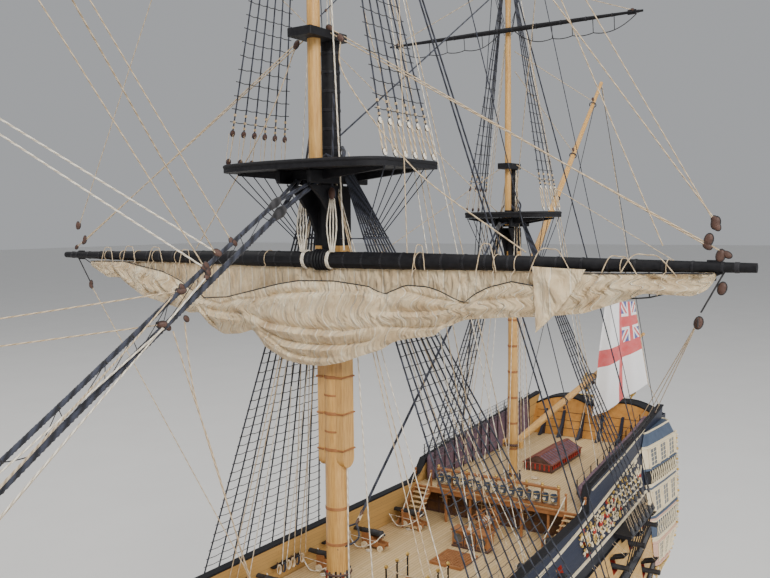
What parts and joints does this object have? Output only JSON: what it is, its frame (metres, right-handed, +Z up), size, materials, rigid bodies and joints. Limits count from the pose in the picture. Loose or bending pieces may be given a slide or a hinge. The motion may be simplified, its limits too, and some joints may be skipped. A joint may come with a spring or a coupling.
{
  "type": "three-masted sailing ship model on a display base",
  "caption": "Wooden display model of a three-masted, three-decked sailing warship with furled lower sails, standing yards, stays and a turning rudder, on a cradle base.",
  "frame": {"origin": "centre of the baseboard's underside", "axes": "+X towards the bow, +Y to port, +Z up"},
  "size_m": [1.2327, 0.3994, 0.9465],
  "materials": {
    "spar_wood": "satin",
    "deck_wood": "matte",
    "dark_wood": "satin",
    "black_paint": "matte",
    "hull_paint": "satin",
    "copper_sheathing": "satin",
    "sailcloth": "matte",
    "rope": "matte",
    "gilding": "satin",
    "red_wood": "satin",
    "gallery_paint": "satin",
    "anchor_iron": "matte",
    "base_walnut": "satin"
  },
  "bodies": {
    "hull": {"fore_lower_mast": "spar_wood", "fore_top": "black_paint", "fore_topmast": "spar_wood", "fore_topgallant_mast": "spar_wood", "main_lower_mast": "spar_wood", "main_top": "black_paint", "main_topmast": "spar_wood", "main_topgallant_mast": "spar_wood", "mizzen_lower_mast": "spar_wood", "mizzen_top": "black_paint", "mizzen_topmast": "spar_wood", "mizzen_topgallant_mast": "spar_wood", "main_yard": "black_paint", "main_topsail_yard": "black_paint", "main_topgallant_yard": "black_paint", "fore_yard": "black_paint", "fore_topsail_yard": "black_paint", "fore_topgallant_yard": "black_paint", "crossjack_yard": "black_paint", "mizzen_topsail_yard": "black_paint", "mizzen_topgallant_yard": "black_paint", "spritsail_yard": "black_paint", "poop_rail": "black_paint", "bowsprit": "spar_wood", "jibboom": "spar_wood", "steering_wheel": "spar_wood", "upper_deck": "deck_wood", "quarter_deck": "deck_wood", "forecastle_deck": "deck_wood", "poop_deck": "deck_wood", "hull_topsides": "hull_paint", "ship_boat_large": "hull_paint", "ship_boat_small": "hull_paint", "keel_and_stem": "dark_wood", "cabin_bulkhead": "dark_wood", "skid_beams": "dark_wood", "hull_bottom": "copper_sheathing", "stern_gallery": "gallery_paint", "quarter_gallery_port": "gallery_paint", "quarter_gallery_starboard": "gallery_paint", "head_rails": "gilding", "stern_lanterns": "gilding", "poop_skylight": "red_wood", "anchor_port": "anchor_iron", "anchor_starboard": "anchor_iron", "main_sail_furled": "sailcloth", "fore_sail_furled": "sailcloth", "ensign": "sailcloth", "fore_stay": "rope", "main_stay": "rope", "mizzen_stay": "rope", "main_topmast_stay": "rope", "baseboard": "base_walnut", "cradle_chock_fore": "base_walnut", "cradle_chock_aft": "base_walnut"},
    "rudder": {"rudder": "dark_wood"},
    "gaff": {"gaff": "spar_wood"},
    "boom": {"boom": "spar_wood"}
  },
  "joints": [
    {"name": "rudder_swing", "type": "hinge", "parent": "hull", "child": "rudder", "pos_m": [-0.35071, 0, 0.0339], "axis": [-0.2289, 0, 0.9735], "range_deg": [-35, 35]},
    {"name": "gaff_swing", "type": "hinge", "parent": "hull", "child": "gaff", "pos_m": [-0.25262, 0, 0.38], "axis": [0, 0, 1], "range_deg": [-20, 20]},
    {"name": "boom_swing", "type": "hinge", "parent": "hull", "child": "boom", "pos_m": [-0.25262, 0, 0.27], "axis": [0, 0, 1], "range_deg": [-3, 20]}
  ]
}
